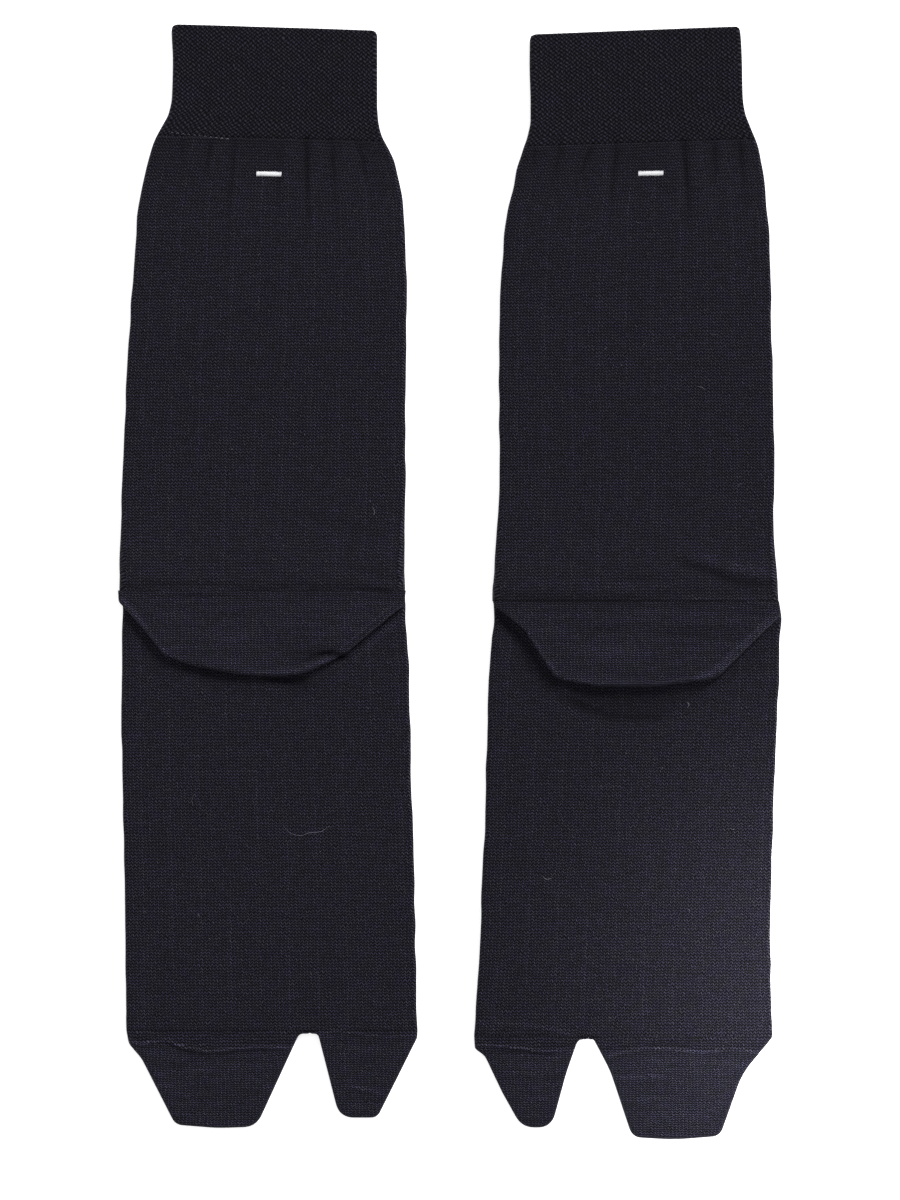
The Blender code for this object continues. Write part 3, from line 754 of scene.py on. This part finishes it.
def bar_tack(side, sock, place, material):
    """A plain bar tack: threads side by side across a short bar, each arched over it as half a sine
    and a little unlike its neighbours, over two threads that run along it."""
    x, station, tilt = sock["bar_tack"]
    random = np.random.default_rng(7)
    at = np.linspace(-0.5, 0.5, TACK_STITCHES) * TACK_LENGTH
    s = np.linspace(0, 1, 13)
    width = TACK_WIDTH * (1 + random.uniform(-0.07, 0.07, (TACK_STITCHES, 1)))
    slant = random.uniform(-0.06, 0.06, (TACK_STITCHES, 1)) + 0.16
    along = at[:, None] + slant * (s - 0.5)
    across = width * (s - 0.5)
    arch = TACK_HEIGHT * np.sin(np.pi * s) ** 0.6 + 0.02
    paths = stacked(along, across, arch)
    core = np.linspace(-0.5, 0.5, len(s)) * (TACK_LENGTH + 0.3)
    sides = (-CORE_GAP / 2, CORE_GAP / 2)
    paths = np.concatenate([paths, [stacked(core, off, 0.1) for off in sides]])
    angle = math.atan2(tilt, LEG_AT_TACK)
    cos, sin = math.cos(angle), math.sin(angle)
    turned = paths @ [[cos, sin, 0], [-sin, cos, 0], [0, 0, 1]] + (x, station, 0)
    turned[..., 2] += top_height(sock, side, turned[..., 0], turned[..., 1])
    radii = np.append(random.uniform(0.165, 0.19, TACK_STITCHES), [CORE_RADIUS, CORE_RADIUS])
    piece = thread_piece(f"{side}_bar_tack_thread", turned, radii, 8, place, material)
    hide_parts(f"{side}_bar_tack")


SHORT_FIBRES = 60
FIBRE_SPREAD = 38  # how far from the sock's middle line they lie


def lint(side, sock, place, material):
    """A few loose fibres that lie on the cloth, and many short ends of the yarn's own, which bend as
    they go. None of those lies on the heel pocket."""
    random = np.random.default_rng({"left": 3, "right": 4}[side])
    x = random.uniform(-FIBRE_SPREAD, FIBRE_SPREAD, SHORT_FIBRES)
    y = random.uniform(sock["toe_seam"] + 4, sock["cuff_seam"] - 14, SHORT_FIBRES)
    y = np.where(np.abs(y + 10) < 20, y + 45, y)
    heading = random.uniform(0, 2 * np.pi, (SHORT_FIBRES, 1))
    bend = random.uniform(-1.8, 1.8, (SHORT_FIBRES, 1))
    step = random.uniform(0.5, 1.4, (SHORT_FIBRES, 1)) / 12
    s = np.linspace(0, 1, 13)
    fx = x[:, None] + np.cumsum(np.cos(heading + bend * s) * step, 1)
    fy = y[:, None] + np.cumsum(np.sin(heading + bend * s) * step, 1)
    radii = random.uniform(0.010, 0.022, SHORT_FIBRES)
    for radius, points in sock["hairs"]:
        places = np.arange(len(points))
        line = [smooth_between(s * places[-1], places, column) for column in np.array(points).T]
        fx = np.vstack([fx, line[0]])
        fy = np.vstack([fy, line[1]])
        radii = np.append(radii, radius)
    fz = top_height(sock, side, fx, fy) + 0.06 + 0.12 * np.sin(np.pi * s)
    thread_piece(f"{side}_lint", stacked(fx, fy, fz), radii, 4, place, material)


# -------- finishes


class Finish:
    """A material whose nodes are added one by one. Most methods add one and give its output."""

    def __init__(self, name, roughness, specular, sheen=0.0, sheen_tint=(1, 1, 1)):
        self.material = bpy.data.materials.new(name)
        self.material.use_nodes = True
        self.tree = self.material.node_tree
        self.shader = self.tree.nodes["Principled BSDF"]
        self.shade({"Roughness": roughness, "Specular IOR Level": specular, "Sheen Weight": sheen})
        self.shade({"Sheen Roughness": 0.45, "Sheen Tint": (*sheen_tint, 1)})

    def shade(self, settings):
        """Sets or links the named inputs of the material's shader."""
        for name, value in settings.items():
            self.put(self.shader.inputs[name], value)

    def put(self, socket, value):
        if isinstance(value, bpy.types.NodeSocket):
            self.tree.links.new(value, socket)
        else:
            socket.default_value = value

    def node(self, kind, output, inputs, **settings):
        node = self.tree.nodes.new("ShaderNode" + kind)
        for name, value in settings.items():
            setattr(node, name, value)
        for key, value in inputs.items():
            self.put(node.inputs[key], value)
        return node.outputs[output]

    def math(self, operation, *values):
        return self.node("Math", 0, dict(enumerate(values)), operation=operation)

    def times(self, first, second):
        return self.math("MULTIPLY", first, second)

    def plus(self, first, second):
        return self.math("ADD", first, second)

    def stretch(self, value, low, high, to_low, to_high):
        inputs = {0: value, 1: low, 2: high, 3: to_low, 4: to_high}
        return self.node("MapRange", 0, inputs)

    def mark(self, name):
        return self.node("Attribute", "Fac", {}, attribute_name=name)

    def stitch_place(self):
        place = self.node("UVMap", 0, {}, uv_map="stitches")
        return [self.node("SeparateXYZ", part, {0: place}) for part in (0, 1)]

    def vector(self, x, y, z=0.0):
        return self.node("CombineXYZ", 0, {0: x, 1: y, 2: z})

    def noise(self, vector, scale, detail=2.0):
        inputs = {"Vector": vector, "Scale": scale, "Detail": detail}
        return self.node("TexNoise", 0, inputs)

    def drift(self, wale, course, scales, low, high, layer=0.0):
        """Soft noise over the stitches, from `low` to `high`: the larger its two scales, across and up,
        the sooner it changes. Each layer is a noise of its own."""
        place = self.vector(self.times(wale, scales[0]), self.times(course, scales[1]), layer)
        return self.stretch(self.noise(place, 1.0, 1.0), 0.3, 0.7, low, high)

    def mixed(self, share, first, second):
        inputs = {0: share, 6: (*first, 1), 7: (*second, 1)}
        return self.node("Mix", 2, inputs, data_type="RGBA")

    def vector_math(self, operation, inputs):
        return self.node("VectorMath", 0, inputs, operation=operation)

    def finish(self, colour, height=None, depth=0.0):
        """The finished material, with its bumps as high as `depth` where the height is 1."""
        self.shade({"Base Color": colour})
        if height is not None:
            inputs = {"Height": height, "Distance": depth * MM, "Strength": 1.0}
            self.shade({"Normal": self.node("Bump", 0, inputs)})
        return self.material


RIB_NAVY = (0.0067, 0.0061, 0.0099)
# painted shade of the gathers below the cuff, used as the leg's second tone
GATHER_SHADE_NAVY = (0.0063, 0.0058, 0.0096)
NAVY = (0.0094, 0.0086, 0.0143)
REINFORCED_NAVY = (0.0112, 0.0106, 0.0176)
GREENISH = (1.0, 1.02, 0.90)
VIOLET = (1.0, 0.97, 1.12)


def knit_finish(name, tones, lean, second_leg, depth, contrast, streaked, stagger=0.0, stripes=None):
    """Knitted yarn, from the stitch map, whose unit is one stitch each way.

    Two columns of loop legs stand in each wale, as the size of a sine. Each leg rises outwards by
    `lean` courses, and a cosine up the wale parts it from the next. The second leg of each pair is
    lower, and sits `stagger` of a course higher up. Soft noise moves the wales and courses a little.

    The shade is painted shade that follows the height: darker in the gaps between the legs than on
    their tops, the more so the greater the `contrast`, and darker on the lower second leg, the side
    that takes less light. Every leg has its own tone, with finer noise over it and streaks along the
    courses. `stripes` is how many wales apart paler needle lines stand, which come and go. Troughs get
    painted shade and ridges a painted highlight, by the relief mark, and the second of the tones takes
    the first one's place by its own mark: the reinforced knit's own tone, and on the leg painted shade
    of the gathers below the cuff.
    """
    yarn = Finish(name, roughness=0.88, specular=0.10, sheen=0.05, sheen_tint=(0.75, 0.78, 1.0))
    wale, course = yarn.stitch_place()
    wale = yarn.plus(wale, yarn.drift(wale, course, (0.35, 0.35), -0.24, 0.24))
    course = yarn.plus(course, yarn.drift(wale, course, (0.35, 0.35), -0.22, 0.22, layer=7.0))
    within = yarn.math("FRACT", wale)
    legs = yarn.math("ABSOLUTE", yarn.math("SINE", yarn.times(wale, 2 * math.pi)))
    out = yarn.times(yarn.math("ABSOLUTE", yarn.math("SUBTRACT", within, 0.5)), 2.0)
    second = yarn.math("GREATER_THAN", within, 0.5)
    up = yarn.math("SUBTRACT", course, yarn.times(out, lean))
    up = yarn.plus(up, yarn.times(second, stagger))
    loops = yarn.stretch(yarn.math("COSINE", yarn.times(up, 2 * math.pi)), -1.0, 1.0, 0.0, 1.0)
    height = yarn.times(yarn.math("POWER", legs, 0.45), yarn.math("POWER", loops, 1.4))
    height = yarn.times(height, yarn.stretch(second, 0.0, 1.0, 1.0, second_leg))

    each = yarn.vector(yarn.math("FLOOR", wale), yarn.math("FLOOR", yarn.plus(up, 0.5)))
    own = yarn.node("TexWhiteNoise", 0, {"Vector": each}, noise_dimensions="2D")
    # painted shade: the colour follows the stitch height, darker in the gaps between the legs and on the
    # lower second leg
    shade = yarn.stretch(height, 0.0, 1.0, 1.0 - contrast, 1.0 + 2.6 * contrast)
    relief = yarn.mark("relief")
    factors = [
        yarn.stretch(own, 0.0, 1.0, 0.78, 1.22),
        yarn.drift(wale, course, (1.7, 1.7), 0.78, 1.22),
        yarn.drift(wale, course, (0.05, 0.45), 1.0 - streaked, 1.0 + streaked),
        # painted shade in the folds' troughs and a painted highlight on their ridges
        yarn.stretch(relief, -0.6, 0.0, 0.50, 1.0),
        yarn.stretch(relief, 0.0, 0.5, 1.0, 1.8),
    ]
    if stripes:
        every = yarn.math("FRACT", yarn.math("DIVIDE", wale, stripes))
        line = yarn.stretch(yarn.math("ABSOLUTE", yarn.math("SUBTRACT", every, 0.5)), 0.0, 0.07, 1.0, 0.0)
        along = yarn.vector(yarn.times(wale, 0.3), yarn.times(course, 0.035))
        line = yarn.times(line, yarn.stretch(yarn.noise(along, 1.0), 0.36, 0.60, 0.04, 0.42))
        factors.append(yarn.plus(line, 1.0))
    for factor in factors:
        shade = yarn.times(shade, factor)
    # the second tone: the reinforced knit's own tone, and on the leg the painted shade of the gathers
    base = yarn.mixed(yarn.mark("second_tone"), *tones)
    hues = yarn.noise(yarn.vector(yarn.times(wale, 0.22), yarn.times(course, 0.22), 3.0), 1.0)
    tint = yarn.mixed(yarn.stretch(hues, 0.32, 0.68, 0.0, 1.0), GREENISH, VIOLET)
    base = yarn.vector_math("MULTIPLY", {0: base, 1: tint})
    return yarn.finish(yarn.vector_math("SCALE", {0: base, "Scale": shade}), height, depth)


def thread_finish():
    """White embroidery thread: fine plies twisted along it."""
    thread = Finish("white_thread", roughness=0.55, specular=0.35, sheen=0.2)
    place = thread.node("TexCoord", "Object", {})
    plies = thread.noise(place, 9000.0)
    colour = thread.mixed(thread.stretch(plies, 0.3, 0.7, 0.0, 1.0), (0.62, 0.62, 0.64), (0.86, 0.86, 0.88))
    return thread.finish(colour, plies, 0.03)


def lint_finish():
    """Fine loose fibres, paler than the cloth."""
    fibre = Finish("loose_fibre", roughness=0.6, specular=0.2)
    place = fibre.node("TexCoord", "Object", {})
    tone = fibre.stretch(fibre.noise(place, 60.0, 1.0), 0.35, 0.65, 0.0, 1.0)
    return fibre.finish(fibre.mixed(tone, (0.10, 0.10, 0.14), (0.34, 0.34, 0.38)))


FINISHES = {
    "rib": knit_finish(
        "cuff_rib", (RIB_NAVY, RIB_NAVY), lean=0.3, second_leg=0.75, depth=0.30, contrast=1.0,
        streaked=0.03, stagger=0.5,
    ),
    "plain": knit_finish(
        "leg_knit", (NAVY, GATHER_SHADE_NAVY), lean=0.8, second_leg=0.65, depth=0.35, contrast=1.45,
        streaked=0.04, stripes=8.0,
    ),
    "reinforced": knit_finish(
        "reinforced_knit", (NAVY, REINFORCED_NAVY), lean=0.7, second_leg=0.6, depth=0.32, contrast=1.5,
        streaked=0.18,
    ),
    "thread": thread_finish(),
    "lint": lint_finish(),
}

# -------- the pair


def sock_place(side, sock):
    """The point on the table below the middle of a sock's ankle line."""
    mount = next(m for m in frame["record"]["mounts"] if m["name"] == f"{side}_underside")
    return np.array(mount["pos_m"]) / MM + (0.0, sock["rest"], 0.0)


def make_sock(side, sock):
    """All the pieces of one sock."""
    place = sock_place(side, sock)
    for make, finish in ((cuff, "rib"), (leg, "plain"), (foot, "plain"), (heel, "reinforced")):
        make(side, sock, place, FINISHES[finish])
    for name in ("four_toe", "big_toe"):
        toe(side, sock, name, place, FINISHES["reinforced"])
    bar_tack(side, sock, place, FINISHES["thread"])
    lint(side, sock, place, FINISHES["lint"])


for side, sock in SOCKS.items():
    make_sock(side, sock)

# -------- table, light and camera

FRAMED_HEIGHT = 0.392
FRAMED_MIDDLE = (-0.00016, -0.0059, 0.0013)
LENS = 100.0
SENSOR = 36.0
TABLE_LEVEL = -0.0002
TABLE_HALF = 3.0
ROOM_LIGHT = 0.62
KEY_PLACE, KEY_ENERGY, KEY_ANGLE = (0.75, 1.25, 1.10), 3.5, 19
POOL_PLACE, POOL_AIM = (0.30, -0.34, 0.75), (0.145, -0.142, 0.0)
POOL_ENERGY, POOL_ANGLE, POOL_RADIUS = 75.0, 14.5, 0.05


def make_table():
    """A plain pale table, just below the cloth."""
    ends = (-TABLE_HALF, TABLE_HALF)
    corners = [(x, y, TABLE_LEVEL) for y in ends for x in ends]
    mesh = bpy.data.meshes.new("table")
    mesh.from_pydata(corners, [], [(0, 1, 3, 2)])
    table = put_in_scene("table", mesh)
    paint = Finish("table_paint", roughness=0.9, specular=0.0)
    paint.shade({"Emission Color": (1, 1, 1, 1), "Emission Strength": 0.6})
    mesh.materials.append(paint.finish((0.93, 0.93, 0.93, 1)))


def make_light(kind, name, place, aim, energy):
    """A light at a place, turned to face its aim."""
    data = bpy.data.lights.new(name, kind)
    data.energy = energy
    light = put_in_scene(name, data)
    light.location = place
    light.rotation_euler = (light.location - Vector(aim)).to_track_quat("Z", "Y").to_euler()
    return data


def light_room():
    """Even light from all round, a broad key from beyond the cuffs, and a soft pool near the toes."""
    world = bpy.data.worlds.new("studio")
    bpy.context.scene.world = world
    world.use_nodes = True
    background = world.node_tree.nodes["Background"]
    background.inputs["Color"].default_value = (1, 1, 1, 1)
    background.inputs["Strength"].default_value = ROOM_LIGHT
    key = make_light("SUN", "key", KEY_PLACE, (0, 0, 0), KEY_ENERGY)
    key.angle = math.radians(KEY_ANGLE)
    pool = make_light("SPOT", "pool", POOL_PLACE, POOL_AIM, POOL_ENERGY)
    pool.spot_size = math.radians(POOL_ANGLE)
    pool.spot_blend = 1.0
    pool.shadow_soft_size = POOL_RADIUS


def place_camera():
    """A long lens that looks straight down, as far off as its framed height asks."""
    data = bpy.data.cameras.new("camera")
    data.lens = LENS
    data.sensor_width = SENSOR
    camera = put_in_scene("camera", data)
    distance = FRAMED_HEIGHT * LENS / SENSOR
    x, y, z = FRAMED_MIDDLE
    camera.location = (x, y, z + distance)
    bpy.context.scene.camera = camera


make_table()
light_room()
place_camera()
bpy.context.scene.view_settings.view_transform = "Standard"
